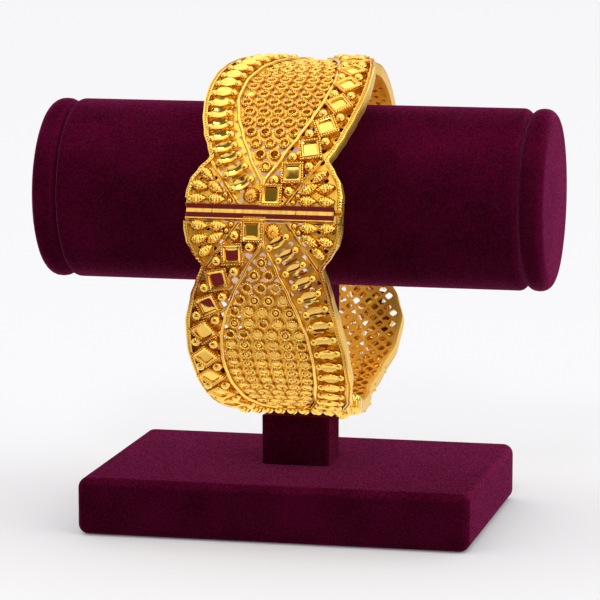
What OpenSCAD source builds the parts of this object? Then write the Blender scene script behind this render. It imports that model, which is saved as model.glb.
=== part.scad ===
// Screw bangle, hinged at the front and closed by a screw underneath, on its T-bar display stand.
// Z is up, the roll lies along X, the front joint of the bangle faces -Y. Millimetres.

/* [Bangle] */
// Inner diameter, a common adult bangle size
bangle_bore = 60.4; // [60.2:0.1:60.6]
// Radius of the outer face of the pierced plate
plate_r = 31.5; // [31.4:0.05:31.6]
// Thickness of the pierced plate
plate_t = 0.6; // [0.5:0.05:0.7]
// Radius of the top of the plain side walls
wall_r = 32.4; // [32.2:0.05:32.5]
// Thickness of the plain side walls
wall_t = 0.6; // [0.5:0.05:0.65]
// Half width at the lobes beside a joint
lobe_w = 14.1; // [13.9:0.1:14.2]
// Height of the ring's centre above the table
ring_z = 52.8; // [52.7:0.05:52.9]

/* [Joints] */
// Angle of the front joint above the horizontal
front_deg = 14.5; // [14:0.25:15]
// Angle of the lower joint, where the screw is
screw_deg = -77; // [-77.25:0.25:-76.75]
// Angle of the soldered joint at the top
top_deg = 106; // [105:0.5:107]
// Angle of the soldered joint at the back
back_deg = 188; // [187:0.5:189]
// Radius of the hinge pin
pin_r = 0.4; // [0.38:0.01:0.42]
// Outer radius of the hinge knuckles
knuckle_r = 0.85; // [0.82:0.01:0.88]
// Radius of the screw's shank
shank_r = 0.7; // [0.65:0.01:0.72]
// Outer radius of the screw's knuckles
screw_tube_r = 1.3; // [1.25:0.01:1.35]
// Radius of the screw's knob
knob_r = 1.7; // [1.6:0.05:1.75]

/* [Ornament] */
// Side of a framed mirror square
square_w = 3.5; // [3.3:0.1:3.7]
// Diameter of the smooth balls
ball_d = 1.8; // [1.7:0.05:1.85]
// Length of an arched boat
boat_l = 4.2; // [4:0.1:4.4]
// Width of the plain wires round the net
wire_w = 0.65; // [0.6:0.05:0.7]
// Across a hole of the net
hole_d = 1.7; // [1.5:0.1:1.8]

/* [Stand] */
// Width of the base
base_w = 72; // [71:0.5:73]
// Depth of the base
base_d = 51; // [50:0.5:52]
// Height of the base
base_h = 10.5; // [10.25:0.25:10.75]
// Diameter of the roll
roll_d = 33; // [32.8:0.1:33.2]
// Length of the roll with its end discs
roll_l = 94; // [93:0.5:95]
// Height of the roll's axis
roll_z = 60.3; // [60.2:0.05:60.4]
// Thickness of an end disc
cap_t = 4.6; // [4.4:0.1:4.8]
// Width of the post
post_w = 12.6; // [12.4:0.1:12.8]
// Depth of the post
post_d = 10.4; // [10.2:0.1:10.5]

/* [Hidden] */

gap = 0.06;
bore_r = bangle_bore / 2;
hinge_r = 31.4;
screw_axis_r = 31;
relief_r = 32.9;
leaf_depth = 1.8;
leaf_arc = 1.98;
mm_deg = 180 / PI / plate_r;
screw_half = 10.1;
pad_left = -10.5;
pad_right = 4.5;
gold = "#D9A441";
bright = "#F0C665";
velvet = "#4A0C24";
blush = "#E9D5D2";

// Half widths of a panel: distance from its joint, its side with squares, its side with boats
GATE_EDGE = [[0, 14.3, lobe_w], [3.2, 14.2, lobe_w], [5.4, 13.7, 13.7], [7.5, 12.6, 12.5],
    [9.7, 10.9, 10.9], [12.5, 12.1, 11.8], [15, 13.1, 12.4], [20, 14.4, 13.4], [26, 14.7, 14.2],
    [34, 14.2, 14.1], [41, 13.3, 12.9], [45.5, 12.5, 11.4], [48.2, 11.8, screw_half],
    [60, 11.8, screw_half]];
UPPER_EDGE = [[0, lobe_w, 14.3], [3, lobe_w, 14.1], [5.2, 13.6, 13.6], [7.2, 12.4, 12.3],
    [9.4, 11.0, 10.5], [11.6, 12.2, 11.2], [14, 13.3, 12.2], [18, 14.5, 13.1], [22, 15.4, 13.5],
    [26, 15.7, 13.5], [30, 15.6, 13.1], [34, 15.2, 12.3], [38, 14.4, 11.1], [42, 13.4, 9.9],
    [46, 12.5, 9.1], [50.3, 12.1, 8.6], [60, 12.1, 8.6]];
BACK_LOW_EDGE = [[0, lobe_w, lobe_w], [3.6, 13.6, 13.6], [7.8, 10.8, 10.8], [12, 13.2, 13.2],
    [16.5, 14.6, 14.6], [23, 14.2, 14.2], [29, 12.7, 12.7], [36.5, 11.6, 11.6], [41.2, 12.3, 12.3],
    [49.2, 12.3, 12.3], [49.9, screw_half, screw_half], [60, screw_half, screw_half]];
BACK_TOP_EDGE = [[0, lobe_w, lobe_w], [4.6, 13.5, 13.5], [9, 10.7, 10.7], [14, 12.5, 12.5],
    [20, 13.6, 13.2], [27, 13.0, 13.0], [32, 12.0, 13.0], [38, 10.5, 12.95], [42, 9.4, 12.8],
    [45.1, 8.6, 12.1], [60, 8.6, 12.1]];
// Half width of the leaf of net, along a panel of 50 mm
LEAF = [[5.5, 0.2], [10.5, 3.3], [14.6, 5.4], [19.2, 6.9], [25, 7.8], [32, 7.8], [39.5, 6.8],
    [44.5, 5.2], [47, 3.2], [48, 0.4]];
// Middle of the band of squares and of the band of boats, along a panel of 50 mm
SQUARE_LINE = [[3.1, 1.7], [7.2, 4.7], [12, 8.2], [17, 10.1], [22, 10.9], [33, 10.9], [40, 10.2],
    [45, 8.8], [48, 7.4]];
BOAT_LINE = [[5.6, 4.6], [8.8, 7.2], [12, 8.8], [17, 9.7], [22, 10.5], [33, 10.5], [40, 9.6],
    [45, 8.2], [48, 7.0]];

// Panels: start angle, direction, length along the plate, edge table, side of the squares
GATE = [front_deg, -1, (front_deg - screw_deg) / mm_deg, GATE_EDGE, -1];
UPPER = [front_deg, 1, (top_deg - front_deg) / mm_deg, UPPER_EDGE, 1];
BACK_TOP = [back_deg, -1, (back_deg - top_deg) / mm_deg, BACK_TOP_EDGE, -1];
BACK_LOW = [back_deg - 360, 1, (screw_deg - back_deg + 360) / mm_deg, BACK_LOW_EDGE, 1];

// Smooth value from a table: eased between its rows
function ease(t) = t * t * (3 - 2 * t);
function row(table, d, i = 0) = i >= len(table) - 2 || d < table[i + 1][0] ? i : row(table, d, i + 1);
function mix_at(table, d, col, i) = let (a = table[i], b = table[i + 1],
    t = min(1, max(0, (d - a[0]) / (b[0] - a[0])))) a[col] + (b[col] - a[col]) * (0.5 * ease(t) + 0.5 * t);
function look(table, d, col = 1) = mix_at(table, d, col, row(table, d));

// Where a panel's own place lies: d along it from its joint, x with squares on the plus side
function panel_deg(p, d) = p[0] + p[1] * d * mm_deg;
function scaled(p, d) = d * 50.3 / p[2];
function edge(p, d, side) = look(p[3], d, side > 0 ? 1 : 2);
function leaf(p, d) = min(look(LEAF, scaled(p, d)), edge(p, d, -1) - 4.7);
function point(deg, x, r) = [x, -r * cos(deg), ring_z + r * sin(deg)];

// Puts its children on the ring: local Z outward, local Y up the ring, local X along the axis
module on_ring(deg, x, r) {
    translate(point(deg, x, r)) rotate([90 - deg, 0, 0]) children();
}
module on_panel(p, d, x, r = plate_r) {
    on_ring(panel_deg(p, d), x * p[4], r) children();
}

// Sweeps a section along a panel: each station has its own section of places [x, radius]
module sweep(p, stations, sections) {
    n = len(stations);
    m = len(sections[0]);
    pts = [for (i = [0:n - 1], q = sections[i]) point(panel_deg(p, stations[i]), p[4] * q[0], q[1])];
    sides = [for (i = [0:n - 2], c = [0:m - 1]) let (e = (c + 1) % m)
        [i * m + c, i * m + e, (i + 1) * m + e, (i + 1) * m + c]];
    ends = [[for (c = [m - 1:-1:0]) c], [for (c = [0:m - 1]) (n - 1) * m + c]];
    faces = [for (f = concat(sides, ends)) [for (k = [len(f) - 1:-1:0]) f[k]]];
    polyhedron(points = pts, faces = faces, convexity = 8);
}
// A wire of a panel, as wide as the pair of lines given at each station
module strip(p, stations, lines, r0, r1) {
    sweep(p, stations, [for (q = lines) [[q[0], r0], [q[0], r1], [q[1], r1], [q[1], r0]]]);
}
function steps(a, b, n) = [for (i = [0:n]) a + (b - a) * i / n];

// Plate and side walls in one: a shallow tray, open towards the wrist as well
module tray(p, from, to) {
    s = concat([from], [for (k = [0.085, 0.135, 0.19, 0.25, 0.32, 0.4, 0.49, 0.58, 0.67, 0.76, 0.84,
        0.91]) k * p[2]], [to]);
    under = plate_r - plate_t;
    sweep(p, s, [for (d = s) let (a = -edge(p, d, -1), b = edge(p, d, 1), t = wall_t)
        [[a, bore_r], [a, wall_r], [a + t, wall_r], [a + t, plate_r], [b - t, plate_r], [b - t, wall_r],
        [b, wall_r], [b, bore_r], [b - t, bore_r], [b - t, under], [a + t, under], [a + t, bore_r]]]);
}
module leaf_wire(p, side) {
    start = 5 * p[2] / 50.3;
    end = 48 * p[2] / 50.3;
    s = concat(steps(start, end - 5, 7), [end - 2.6, end - 0.7]);
    strip(p, s, [for (d = s) [leaf(p, d) * side - wire_w / 2, leaf(p, d) * side + wire_w / 2]],
        plate_r - 0.3, plate_r + 0.75);
}
// Plain wire from the joint to the waist, between a fan and a band
module fan_wire(p, side) {
    s = steps(2.1, 9.8, 2);
    strip(p, s, [for (d = s) let (m = side * fan_line(d)) [m - 0.3, m + 0.3]],
        plate_r - 0.3, plate_r + 0.8);
}

// A smooth ball, set in the plate to its middle
module ball() {
    cylinder(d1 = ball_d, d2 = 0.45 * ball_d, h = 1.25, $fn = 10);
}
// A frame with a recessed mirror face
module framed_square() {
    difference() {
        translate([0, 0, -0.2]) linear_extrude(relief_r - plate_r + 0.1) square(square_w, center = true);
        translate([0, 0, relief_r - plate_r - 0.4]) linear_extrude(1) square(square_w - 1.1, center = true);
    }
}
// An arched ridge across the band, pointed at both ends
module boat() {
    hull() for (x = [-0.9, 0.9]) translate([x, 0, -0.2]) scale([boat_l / 2 - 0.9, 0.85, 1])
        cylinder(r1 = 1, r2 = 0, h = 2.1, $fn = 4);
}
// A rice-grain barrel of a fan
module grain() {
    translate([0, 0, 0.55]) scale([1.75, 1, 1]) rotate([0, 90, 0]) sphere(r = 0.95, $fn = 6);
}
module rosette() {
    translate([0, 0, -0.2]) cylinder(r1 = 1.55, r2 = 0.7, h = 1.5, $fn = 12);
}

// Distances of the squares along a panel
function square_ds(p) = [for (i = [0:8]) let (d = i < 3 ? 3.7 + i * 4.45 : 12.6 + (i - 2) * 5.35)
    if (d < p[2] - 4) d];
function square_x(p, d) = min(look(SQUARE_LINE, scaled(p, d)), edge(p, d, 1) - 3.2);
function fan_line(d) = 4.3 + (d - 1.3) * 0.68;
function boat_x(p, d) = min(look(BOAT_LINE, scaled(p, d)), edge(p, d, -1) - 2.95,
    d < 10 ? fan_line(d) - 2.6 : 99);

module squares_band(p) {
    ds = square_ds(p);
    for (i = [0:len(ds) - 1]) {
        turn = min(45, max(0, (ds[i] - 4) * 2.4));
        on_panel(p, ds[i], square_x(p, ds[i])) rotate(turn) framed_square();
        mid = ds[i] + 2.6;
        if (mid < p[2] - 3) for (side = [-1, 1]) {
            x = square_x(p, mid) + side * (i == 0 ? 1.5 : 1.68);
            lean = side * (mid < 14 ? 0.9 : 0);
            if (i > 0 || side < 0) on_panel(p, mid - lean, x, plate_r - 0.1) ball();
        }
    }
}
module boats_band(p) {
    for (d = [6.25:2.42:p[2] - 3.4]) {
        x = boat_x(p, d);
        lean = atan((boat_x(p, d + 1) - boat_x(p, d - 1)) / 2);
        on_panel(p, d, -x) rotate(lean) boat();
    }
}
// Five grains in a fan: distance from the joint, place across, turn
FAN = [[3.2, 8.0, 6], [3.0, 11.5, -4], [5.8, 8.9, 22], [5.6, 11.8, 12], [8.0, 10.0, 45]];
module fan(p, side) {
    for (g = FAN) on_panel(p, g[0], side * g[1] * 0.97) rotate(side * p[1] * p[4] * g[2]) grain();
}
module net_holes(p) {
    rows = floor((p[2] - 13) / 3.4);
    for (i = [0:rows]) {
        d = 9.6 + i * 3.4;
        half = leaf(p, d) - 1.1;
        shift = i % 2 == 0 ? 0 : 2.35;
        for (x = [-4.7 - shift:4.7:8]) if (abs(x) <= half)
            on_panel(p, d, x) cylinder(d = hole_d, h = 4, center = true, $fn = 6);
    }
}
// One panel's metal: plate, walls, wires and raised work
module panel(p, from, to) {
    difference() {
        tray(p, from, to);
        net_holes(p);
    }
    for (side = [-1, 1]) {
        leaf_wire(p, side);
        fan_wire(p, side);
        fan(p, side);
    }
    squares_band(p);
    boats_band(p);
    on_panel(p, 3.6, -2.5) rosette();
}
// A plain strip across a soldered joint
module cross_strip(deg, left, right) {
    on_ring(deg, 0, bore_r - 0.05)
        translate([-left, -0.9, 0]) cube([left + right, 1.8, wall_r - bore_r + 0.12]);
}

module bangle_band() {
    color(gold) difference() {
        union() {
            panel(UPPER, leaf_arc, UPPER[2] + 0.2);
            panel(BACK_TOP, -0.2, BACK_TOP[2] + 0.2);
            panel(BACK_LOW, -0.2, BACK_LOW[2] - leaf_arc);
            cross_strip(top_deg, 8.7, 12.2);
            cross_strip(back_deg, lobe_w + 0.1, lobe_w + 0.1);
            // Boss that the stand's pin passes through
            on_ring(-90, 0, plate_r - plate_t) cylinder(r = 2, h = 1.2, $fn = 12);
        }
        on_ring(-90, 0, plate_r) cylinder(r = 1, h = 6, center = true, $fn = 12);
    }
}
module gate_panel() {
    color(gold) panel(GATE, leaf_arc, GATE[2] - leaf_arc);
}

// Bevelled end plate of the front joint, in the joint's own plane: u away from the joint, v outward
module hinge_leaf(u_sign, own, other) {
    inner = bore_r - hinge_r;
    outer = wall_r - hinge_r;
    on_ring(front_deg, 0, hinge_r) difference() {
        union() {
            difference() {
                rotate([90, 0, 90]) linear_extrude(2 * lobe_w - 0.1, center = true)
                    polygon([[u_sign * 0.15, inner], [u_sign * leaf_depth, inner],
                        [u_sign * leaf_depth, outer], [u_sign * 1.25, outer], [u_sign * 0.15, -0.1]]);
                for (k = other) tube(knuckle_r + 0.15, k[0] - 0.1, k[1] + 0.1);
            }
            for (k = own) {
                tube(knuckle_r, k[0], k[1]);
                // Foot that joins the knuckle to the plate
                translate([k[0], min(0, u_sign * 1.2), inner]) cube([k[1] - k[0], 1.2, 0.9]);
            }
        }
        tube(pin_r + 0.05, -20, 20);
    }
}
module tube(r, x0, x1) {
    translate([x0, 0, 0]) rotate([0, 90, 0]) cylinder(r = r, h = x1 - x0, $fn = 48);
}
KNUCKLES_BAND = [[-13.9, -9.3], [5.9, 12.6]];
KNUCKLES_GATE = [[-9.2, 5.8]];
module hinge_leaf_band() {
    color(bright) hinge_leaf(1, KNUCKLES_BAND, KNUCKLES_GATE);
}
module hinge_leaf_gate() {
    color(bright) hinge_leaf(-1, KNUCKLES_GATE, KNUCKLES_BAND);
}
module hinge_pin() {
    color(bright) on_ring(front_deg, 0, hinge_r) tube(pin_r, -13.8, 12.5);
}

// End plates of the screw joint
KNUCKLES_FIXED = [[-screw_half, -5.1], [5.1, screw_half]];
KNUCKLES_HOOK = [[-5, 5]];
mouth_deg = 224;
module screw_leaf(u_sign, own, other) {
    inner = bore_r - screw_axis_r;
    outer = wall_r - 0.2 - screw_axis_r;
    on_ring(screw_deg, 0, screw_axis_r) difference() {
        union() {
            difference() {
                rotate([90, 0, 90]) linear_extrude(2 * screw_half - 0.1, center = true)
                    polygon([[u_sign * 0.1, inner], [u_sign * leaf_depth, inner],
                        [u_sign * leaf_depth, outer], [u_sign * 0.1, outer]]);
                for (k = other) tube(screw_tube_r + 0.15, k[0] - 0.1, k[1] + 0.1);
            }
            for (k = own) tube(screw_tube_r, k[0], k[1]);
        }
        tube(shank_r + 0.06, -20, 20);
        if (u_sign > 0) for (k = own) translate([k[0] - 0.05, 0, 0]) rotate([mouth_deg, 0, 0])
            translate([0, 0, -shank_r - 0.15]) cube([k[1] - k[0] + 0.1, 4, 2 * shank_r + 0.3]);
    }
}
module screw_leaf_band() {
    color(bright) screw_leaf(-1, KNUCKLES_FIXED, KNUCKLES_HOOK);
}
// The gate's knuckle is an open hook, so that it leaves the slackened screw
module screw_leaf_gate() {
    color(bright) screw_leaf(1, KNUCKLES_HOOK, KNUCKLES_FIXED);
}
// Screw with a banded knob, and its thread cut as rings at the far end
module screw() {
    thread = [for (i = [0:9]) each [[shank_r, 3.2 + i * 0.6], [shank_r - 0.12, 3.5 + i * 0.6]]];
    color(bright) on_ring(screw_deg, -screw_half + 0.2, screw_axis_r) rotate([0, 90, 0])
        rotate_extrude($fn = 48) polygon(concat([[0, 0], [shank_r - 0.2, 0], [shank_r, 0.3]], thread,
            [[shank_r, 9.5], [shank_r, 20.1], [knob_r - 0.35, 20.1], [knob_r, 20.4], [knob_r, 20.7],
            [knob_r - 0.3, 20.9], [knob_r - 0.3, 21.1], [knob_r, 21.3], [knob_r, 21.6],
            [knob_r - 0.3, 21.8], [knob_r - 0.3, 22], [knob_r, 22.2], [knob_r, 22.4],
            [knob_r - 0.5, 22.7], [0, 22.7]]));
}

// Stand
module rounded_slab(w, d, h, r) {
    linear_extrude(h) hull() for (x = [-1, 1], y = [-1, 1])
        translate([x * (w / 2 - r), y * (d / 2 - r)]) circle(r, $fn = 24);
}
module stand_base() {
    color(velvet) hull() {
        translate([0, 0, 1]) rounded_slab(base_w, base_d, base_h - 2, 2);
        rounded_slab(base_w - 2, base_d - 2, base_h, 1);
    }
}
module post_bar(z0, z1) {
    translate([0, 0, z0]) linear_extrude(z1 - z0) union() {
        square([post_w - 2, post_d], center = true);
        square([post_w, post_d - 2], center = true);
        for (x = [-1, 1], y = [-1, 1]) translate([x * (post_w / 2 - 1), y * (post_d / 2 - 1)])
            circle(1, $fn = 24);
    }
}
module ring_axis_cylinder(r, z = ring_z) {
    translate([0, 0, z]) rotate([0, 90, 0]) cylinder(r = r, h = 40, center = true, $fn = 96);
}
// The post is in two lengths, because the bangle passes between them
module post_lower() {
    color(velvet) difference() {
        post_bar(base_h + gap, ring_z - bore_r);
        ring_axis_cylinder(relief_r + 0.6);
        post_pin_hole(0.9);
    }
}
module post_upper() {
    color(velvet) difference() {
        intersection() {
            post_bar(ring_z - bore_r - 1, roll_z);
            ring_axis_cylinder(bore_r - 0.25);
        }
        ring_axis_cylinder(roll_d / 2 + gap, roll_z);
        post_pin_hole(0.9);
    }
}
module post_pin_hole(r) {
    translate([0, 0, 14]) cylinder(r = r, h = 14, $fn = 24);
}
module post_pin() {
    color(bright) translate([0, 0, 14.1]) cylinder(r = 0.8, h = 13.8, $fn = 24);
}
module lathe_x(x0, profile) {
    translate([x0, 0, roll_z]) rotate([0, 90, 0]) rotate_extrude($fn = 96) polygon(profile);
}
module roll() {
    half = roll_l / 2 - cap_t - gap;
    r = roll_d / 2;
    color(velvet) lathe_x(-half, [[0, 0], [r - 0.8, 0], [r, 0.8], [r, 2 * half - 0.8],
        [r - 0.8, 2 * half], [0, 2 * half]]);
}
module end_disc(x0) {
    r = roll_d / 2;
    color(velvet) lathe_x(x0, [[0, 0], [r - 1.4, 0], [r - 0.4, 0.5], [r, 1.4], [r, cap_t - 1.4],
        [r - 0.4, cap_t - 0.5], [r - 1.4, cap_t], [0, cap_t]]);
}
module cap_left() {
    end_disc(-roll_l / 2);
}
module cap_right() {
    end_disc(roll_l / 2 - cap_t);
}
// Pale foam pad on the roll that the bangle hangs on
module bangle_pad() {
    pad_r = ring_z + bore_r - roll_z - gap;
    color(blush) difference() {
        translate([pad_left, 0, roll_z]) rotate([0, 90, 0])
            cylinder(r = pad_r, h = pad_right - pad_left, $fn = 96);
        ring_axis_cylinder(roll_d / 2 + gap, roll_z);
        translate([-20, -post_d / 2 - 0.4, 0]) cube([40, post_d + 0.8, roll_z]);
    }
}

stand_base();
post_lower();
post_upper();
post_pin();
roll();
cap_left();
cap_right();
bangle_pad();
bangle_band();
gate_panel();
hinge_leaf_band();
hinge_leaf_gate();
hinge_pin();
screw_leaf_band();
screw_leaf_gate();
screw();
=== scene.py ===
"""Looks of the screw bangle on its velvet T-bar stand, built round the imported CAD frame."""

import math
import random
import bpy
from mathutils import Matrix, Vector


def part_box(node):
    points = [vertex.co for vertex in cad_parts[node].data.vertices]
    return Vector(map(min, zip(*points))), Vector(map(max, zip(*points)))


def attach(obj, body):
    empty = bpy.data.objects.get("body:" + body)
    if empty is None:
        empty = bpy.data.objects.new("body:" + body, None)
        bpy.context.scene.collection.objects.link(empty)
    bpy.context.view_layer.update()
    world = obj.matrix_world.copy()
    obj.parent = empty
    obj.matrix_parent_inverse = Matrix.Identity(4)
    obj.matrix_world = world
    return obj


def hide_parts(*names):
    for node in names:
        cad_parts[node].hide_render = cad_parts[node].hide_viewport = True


bl_info = {
    "name": "Screw Bangle on Stand",
    "version": (1, 0, 0),
    "blender": (4, 5, 0),
    "location": "View3D > Sidebar > Bangle",
    "description": "Builds a pierced gold screw bangle on its velvet display stand",
    "category": "Add Mesh",
}

import bmesh
import bpy
import numpy as np
from bpy.props import FloatProperty, FloatVectorProperty, PointerProperty
from mathutils import Matrix, Vector

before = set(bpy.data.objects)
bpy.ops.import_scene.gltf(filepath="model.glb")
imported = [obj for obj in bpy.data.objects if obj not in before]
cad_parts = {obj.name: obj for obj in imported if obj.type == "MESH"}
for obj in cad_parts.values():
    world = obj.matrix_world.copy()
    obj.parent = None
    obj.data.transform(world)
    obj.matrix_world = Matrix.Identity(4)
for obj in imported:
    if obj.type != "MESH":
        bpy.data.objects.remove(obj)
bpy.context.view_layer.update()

MM = 0.001
BASE_LOW, BASE_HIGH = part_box("stand_base")
ROLL_LOW, ROLL_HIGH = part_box("roll")
CAP_LOW, CAP_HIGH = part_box("cap_right")
PAD_LOW, PAD_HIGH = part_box("bangle_pad")

# The ring's centre and radii, in millimetres, as in the part
RING_Z = 52.8
BORE_R = 30.2
UNDER_R = 30.9
SCREW_AXIS_R = 31.0
HINGE_R = 31.4
PLATE_R = 31.5
WALL_R = 32.4
MM_DEG = 180 / math.pi / PLATE_R
FRONT_DEG, SCREW_DEG, TOP_DEG, BACK_DEG = 14.5, -77.0, 106.0, 188.0
ROLL_R = 16.5
ROLL_Z = 60.3
# A panel's metal stops short of a hinged joint and laps into a soldered one
JOINT_CLEAR = 2.02
SOLDER_LAP = 0.1
# Leaf, squares, balls and boats are drawn on a panel of this length, and each panel stretches them
FULL = 50.3
# The net's rows: distance of the first and pitch, on a panel of that length, and their number
NET_START = 8.95
NET_PITCH = 2.3
NET_ROWS = 17
# How far the front joint's leaves reach to the left, and to the right before their end pieces
LEAF_LEFT = 14.05
LEAF_RIGHT = 12.75
# Radii of the middles of the lower joint's balls and of the solder bars
JOINT_BALL_R = 32.45
SOLDER_BAR_R = 31.25

# The photo's camera, fitted to the stand's edges and the ring's outline: place, lens, and turn, pitch and roll
CAMERA_PLACE = (0.1404, -0.6402, 0.1409)
CAMERA_LENS = 216.06
CAMERA_DEG = (12.385, 90 - 8.709, 0.09)

# Turns a shape's local Z to the world's X
LIE_DOWN = Matrix.Rotation(math.radians(90), 4, "Y")

# Outline of each panel: distance from its joint, half width beside squares, half width beside boats
GATE_EDGE = [(0, 14.3, 14.1), (3.2, 14.2, 14.1), (5.4, 13.7, 13.7), (7.5, 12.6, 12.5), (9.7, 10.9, 10.9),
             (12.5, 12.1, 11.8), (15, 13.1, 12.4), (20, 14.4, 13.4), (26, 14.7, 14.2), (34, 14.2, 14.1),
             (41, 13.3, 12.9), (45.5, 12.5, 11.4), (48.2, 11.8, 10.1), (60, 11.8, 10.1)]
UPPER_EDGE = [(0, 14.1, 14.3), (3, 14.1, 14.1), (5.2, 13.6, 13.6), (7.2, 12.4, 12.3), (9.4, 11.0, 10.5),
              (11.6, 12.2, 11.2), (14, 13.3, 12.2), (18, 14.5, 13.1), (22, 15.4, 13.5), (26, 15.7, 13.5),
              (30, 15.6, 13.1), (34, 15.2, 12.3), (38, 14.4, 11.1), (42, 13.4, 9.9), (46, 12.5, 9.1),
              (50.3, 12.1, 8.6), (60, 12.1, 8.6)]
BACK_TOP_EDGE = [(0, 14.1, 14.1), (4.6, 13.5, 13.5), (9, 10.7, 10.7), (14, 12.5, 12.5), (20, 13.6, 13.2),
                 (27, 13.0, 13.0), (32, 12.0, 13.0), (38, 10.5, 12.95), (42, 9.4, 12.8), (45.1, 8.6, 12.1),
                 (60, 8.6, 12.1)]
BACK_LOW_EDGE = [(0, 14.1, 14.1), (3.6, 13.6, 13.6), (7.8, 10.8, 10.8), (12, 13.2, 13.2), (16.5, 14.6, 14.6),
                 (23, 14.2, 14.2), (29, 12.7, 12.7), (36.5, 11.6, 11.6), (41.2, 12.3, 12.3), (49.2, 12.3, 12.3),
                 (49.9, 10.1, 10.1), (60, 10.1, 10.1)]

# Outline of the leaf of net: distance, beside squares, beside boats. The upper front panel's leans to its squares
LEAF = [(5.6, 0.15, 0.15), (10.5, 3.1, 2.7), (14.5, 5.3, 4.6), (18.5, 7.0, 6.2), (23, 8.2, 7.5), (28.5, 8.6, 7.9),
        (34, 8.2, 7.5), (40, 7.0, 6.4), (45, 5.0, 4.7), (48, 2.6, 2.5), (49.4, 0.3, 0.3)]
UPPER_LEAF = [(5.6, 0.15, 0.15), (10.5, 3.1, 2.7), (14.5, 5.3, 4.6), (18.5, 7.0, 6.2), (23, 8.3, 7.3),
              (28.5, 9.0, 7.1), (34, 8.7, 5.6), (38, 7.9, 4.0), (42, 6.6, 2.2), (45, 5.2, 0.5), (48, 3.4, -1.6),
              (49.4, 2.6, -2.4)]

# Squares: distance, place across, turn
SQUARES = [(3.5, 1.8, 0), (7.5, 5.3, 3), (12.0, 8.0, 11), (16.7, 10.0, 24), (21.9, 11.2, 36), (27.4, 11.6, 42),
           (32.8, 11.4, 45), (38.4, 10.7, 45), (43.3, 9.6, 45), (47.4, 7.6, 45)]
# Balls between the squares: distance, place across
BALLS = [(6.2, 2.2), (10.5, 5.0), (15.1, 7.3), (19.6, 8.9), (24.7, 9.8), (30.2, 9.9), (35.8, 9.4), (41.0, 8.4),
         (45.5, 6.6), (4.3, 4.9), (8.8, 8.1), (13.6, 10.4), (18.8, 12.1), (24.3, 12.9), (30.2, 13.0),
         (35.9, 12.5), (41.4, 11.3), (45.7, 9.6)]
# Boats: distance, place across, lean. Those of the upper front panel follow its leaf
BOAT_LINE = [(5.3, 2.9, 34), (7.4, 4.6, 32), (9.8, 5.9, 29), (12.1, 7.5, 27), (14.6, 8.4, 24), (17.3, 9.4, 20),
             (20.1, 10.1, 13), (23.1, 10.4, 10), (26, 10.7, 8), (29, 10.7, 6), (32, 10.6, 3), (35.1, 10.2, 0),
             (38.3, 9.6, -4), (41.4, 8.9, -7), (44.4, 8.0, -9), (47.2, 6.9, -10)]
UPPER_BOATS = [(5.3, 3.6, 30), (7.7, 5.0, 28), (9.9, 6.4, 24), (11.9, 7.5, 20), (14.1, 8.5, 17), (16.4, 9.15, 13),
               (18.9, 9.8, 9), (21.6, 10.1, 7), (24.3, 10.2, 4), (27.1, 10.1, 3), (29.9, 9.8, 0),
               (32.8, 9.2, -4), (35.7, 8.4, -8), (38.6, 7.4, -12), (41.6, 6.3, -14), (44.6, 5.2, -16),
               (47.4, 4.2, -16)]
# Grains of a fan: distance, place across, turn; and its two little balls
FAN = [(2.7, 8.2, 2), (2.7, 11.6, -4), (4.8, 8.5, 32), (5.0, 11.4, 14), (7.1, 10.2, 40)]
FAN_BALLS = [(2.4, 5.7), (3.5, 6.5)]

# Sections of the front joint, as (arc from the joint's line, radius)
BAND_BEVEL = [(0.34, 32.02), (1.0, 32.30), (1.0, 32.1), (0.5, 31.86), (0.36, 31.94)]
BAND_LEAF = [(0.95, 30.2), (0.95, 31.4), (0.82, 31.66), (0.5, 31.86), (1.0, 32.1), (1.01, 32.28), (1.06, 32.31),
             (1.12, 32.22), (1.16, 31.7), (1.8, 31.62), (1.8, 30.2)]
GATE_BEVEL = [(-0.44, 32.13), (-1.52, 31.68), (-1.52, 31.48), (-0.66, 31.84), (-0.46, 32.0)]
GATE_LEAF = [(-0.95, 30.2), (-0.95, 31.3), (-0.82, 31.62), (-0.70, 31.84), (-1.22, 31.6), (-1.25, 31.74),
             (-1.30, 31.92), (-1.42, 31.98), (-1.56, 31.92), (-1.62, 31.7), (-1.8, 31.62), (-1.8, 30.2)]
CHEEK = [(0.10, 30.2), (0.10, 31.4), (0.54, 32.14), (0.64, 32.22), (1.8, 32.26), (1.8, 30.2)]
KNUCKLE_FOOT = [(-1.0, 30.25), (-1.0, 31.2), (0.3, 31.2), (0.3, 30.25)]

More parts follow.
